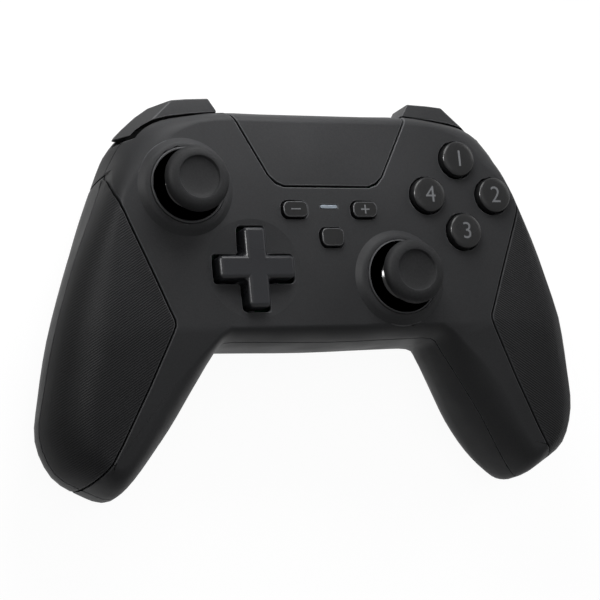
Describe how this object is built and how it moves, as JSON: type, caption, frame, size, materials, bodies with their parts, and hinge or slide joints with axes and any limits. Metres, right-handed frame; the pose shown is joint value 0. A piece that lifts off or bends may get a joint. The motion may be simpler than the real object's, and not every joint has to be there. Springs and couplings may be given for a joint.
{
  "type": "gamepad controller",
  "caption": "Wireless gamepad with two tilting sticks, a direction pad, round face buttons, a clicking touch plate, bumpers, triggers and ribbed grips.",
  "frame": {"origin": "middle of the outline, on the plane that the flat back rests on", "axes": "+X to the pad's right as it is held, +Y towards the shoulders, +Z out of the face"},
  "size_m": [0.1558, 0.1044, 0.0469],
  "materials": {
    "shell": "fine even grain",
    "grip": "fine diagonal ribs",
    "cap": "knurled side, fine grain in the hollow",
    "gloss": "semi gloss",
    "pad": "satin",
    "lens": "clear satin",
    "frame": "moulded",
    "membrane": "soft",
    "board": "lacquered",
    "battery": "wrapped film",
    "brass": "turned",
    "steel": "plain"
  },
  "bodies": {
    "housing": {"front_shell": "shell", "rear_shell": "shell", "mid_frame": "frame", "left_grip_panel": "grip", "right_grip_panel": "grip", "left_grip_back": "shell", "right_grip_back": "shell", "left_stick_ring": "shell", "right_stick_ring": "shell", "left_stick_module": "steel", "right_stick_module": "steel", "dpad_post": "frame", "dpad_membrane": "membrane", "button_membrane": "membrane", "indicator_lens": "lens", "tact_switches": "steel", "bumper_pins": "steel", "left_trigger_pin": "steel", "right_trigger_pin": "steel", "left_trigger_spring": "steel", "right_trigger_spring": "steel", "main_board": "board", "board_screws": "steel", "housing_screws": "steel", "usb_port": "steel", "battery": "battery", "left_rumble_motor": "steel", "right_rumble_motor": "steel"},
    "touch_plate": {"touch_plate": "shell"},
    "left_yoke": {"left_stick_yoke": "frame"},
    "right_yoke": {"right_stick_yoke": "frame"},
    "left_rocker": {"left_stick_rocker": "frame"},
    "right_rocker": {"right_stick_rocker": "frame"},
    "left_stick": {"left_stick_cap": "cap", "left_stick_dome": "gloss"},
    "right_stick": {"right_stick_cap": "cap", "right_stick_dome": "gloss"},
    "dpad_pivot": {"dpad_pivot": "steel"},
    "dpad": {"dpad": "pad"},
    "button_north": {"button_north": "gloss"},
    "button_east": {"button_east": "gloss"},
    "button_south": {"button_south": "gloss"},
    "button_west": {"button_west": "gloss"},
    "minus_button": {"minus_button": "gloss"},
    "plus_button": {"plus_button": "gloss"},
    "home_button": {"home_button": "gloss"},
    "left_bumper": {"left_bumper": "shell"},
    "right_bumper": {"right_bumper": "shell"},
    "left_trigger": {"left_trigger": "shell"},
    "right_trigger": {"right_trigger": "shell"},
    "left_rumble_weight": {"left_rumble_weight": "brass"},
    "right_rumble_weight": {"right_rumble_weight": "brass"}
  },
  "joints": [
    {"name": "left_stick_up_down", "type": "hinge", "parent": "housing", "child": "left_yoke", "pos_m": [-0.0406, 0.0262, 0.032], "axis": [1, 0, 0], "range_deg": [-17, 17], "stiffness_Nm_per_rad": 0.06},
    {"name": "left_stick_left_right", "type": "hinge", "parent": "left_yoke", "child": "left_rocker", "pos_m": [-0.0406, 0.0262, 0.032], "axis": [0, 1, 0], "range_deg": [-17, 17], "stiffness_Nm_per_rad": 0.06},
    {"name": "left_stick_click", "type": "slide", "parent": "left_rocker", "child": "left_stick", "axis": [0, 0, -1], "range_m": [0, 0.0004], "stiffness_N_per_m": 4000, "springref_m": -0.0004},
    {"name": "right_stick_up_down", "type": "hinge", "parent": "housing", "child": "right_yoke", "pos_m": [0.019, 0.0014, 0.032], "axis": [1, 0, 0], "range_deg": [-17, 17], "stiffness_Nm_per_rad": 0.06},
    {"name": "right_stick_left_right", "type": "hinge", "parent": "right_yoke", "child": "right_rocker", "pos_m": [0.019, 0.0014, 0.032], "axis": [0, 1, 0], "range_deg": [-17, 17], "stiffness_Nm_per_rad": 0.06},
    {"name": "right_stick_click", "type": "slide", "parent": "right_rocker", "child": "right_stick", "axis": [0, 0, -1], "range_m": [0, 0.0004], "stiffness_N_per_m": 4000, "springref_m": -0.0004},
    {"name": "dpad_up_down", "type": "hinge", "parent": "housing", "child": "dpad_pivot", "pos_m": [-0.0234, 0.0043, 0.031], "axis": [1, 0, 0], "range_deg": [-5, 5], "stiffness_Nm_per_rad": 0.2},
    {"name": "dpad_left_right", "type": "hinge", "parent": "dpad_pivot", "child": "dpad", "pos_m": [-0.0234, 0.0043, 0.031], "axis": [0, 1, 0], "range_deg": [-5, 5], "stiffness_Nm_per_rad": 0.2},
    {"name": "button_north_press", "type": "slide", "parent": "housing", "child": "button_north", "axis": [0, 0, -1], "range_m": [0, 0.0012], "stiffness_N_per_m": 700, "springref_m": -0.0005},
    {"name": "button_east_press", "type": "slide", "parent": "housing", "child": "button_east", "axis": [0, 0, -1], "range_m": [0, 0.0012], "stiffness_N_per_m": 700, "springref_m": -0.0005},
    {"name": "button_south_press", "type": "slide", "parent": "housing", "child": "button_south", "axis": [0, 0, -1], "range_m": [0, 0.0012], "stiffness_N_per_m": 700, "springref_m": -0.0005},
    {"name": "button_west_press", "type": "slide", "parent": "housing", "child": "button_west", "axis": [0, 0, -1], "range_m": [0, 0.0012], "stiffness_N_per_m": 700, "springref_m": -0.0005},
    {"name": "minus_press", "type": "slide", "parent": "housing", "child": "minus_button", "axis": [0, 0, -1], "range_m": [0, 0.0008], "stiffness_N_per_m": 900, "springref_m": -0.0004},
    {"name": "plus_press", "type": "slide", "parent": "housing", "child": "plus_button", "axis": [0, 0, -1], "range_m": [0, 0.0008], "stiffness_N_per_m": 900, "springref_m": -0.0004},
    {"name": "home_press", "type": "slide", "parent": "housing", "child": "home_button", "axis": [0, 0, -1], "range_m": [0, 0.0008], "stiffness_N_per_m": 900, "springref_m": -0.0004},
    {"name": "touch_plate_click", "type": "hinge", "parent": "housing", "child": "touch_plate", "pos_m": [0, 0.0414, 0.0295], "axis": [1, 0, 0], "range_deg": [0, 1.2], "stiffness_Nm_per_rad": 0.8, "springref_deg": -1.15},
    {"name": "left_bumper_press", "type": "hinge", "parent": "housing", "child": "left_bumper", "pos_m": [-0.0316, 0.0436, 0.026], "axis": [0, 0, 1], "range_deg": [0, 2.5], "stiffness_Nm_per_rad": 0.6, "springref_deg": -1.72},
    {"name": "right_bumper_press", "type": "hinge", "parent": "housing", "child": "right_bumper", "pos_m": [0.0316, 0.0436, 0.026], "axis": [0, 0, -1], "range_deg": [0, 2.5], "stiffness_Nm_per_rad": 0.6, "springref_deg": -1.72},
    {"name": "left_trigger_pull", "type": "hinge", "parent": "housing", "child": "left_trigger", "pos_m": [-0.0327, 0.0414, 0.0152], "axis": [-1, 0, 0], "range_deg": [0, 18], "stiffness_Nm_per_rad": 0.12, "springref_deg": -11.46},
    {"name": "right_trigger_pull", "type": "hinge", "parent": "housing", "child": "right_trigger", "pos_m": [0.0327, 0.0414, 0.0152], "axis": [-1, 0, 0], "range_deg": [0, 18], "stiffness_Nm_per_rad": 0.12, "springref_deg": -11.46},
    {"name": "left_rumble_spin", "type": "hinge", "parent": "housing", "child": "left_rumble_weight", "pos_m": [-0.058, -0.0166, 0.024], "axis": [0, 0, 1], "continuous": true},
    {"name": "right_rumble_spin", "type": "hinge", "parent": "housing", "child": "right_rumble_weight", "pos_m": [0.058, -0.0166, 0.024], "axis": [0, 0, 1], "continuous": true}
  ]
}
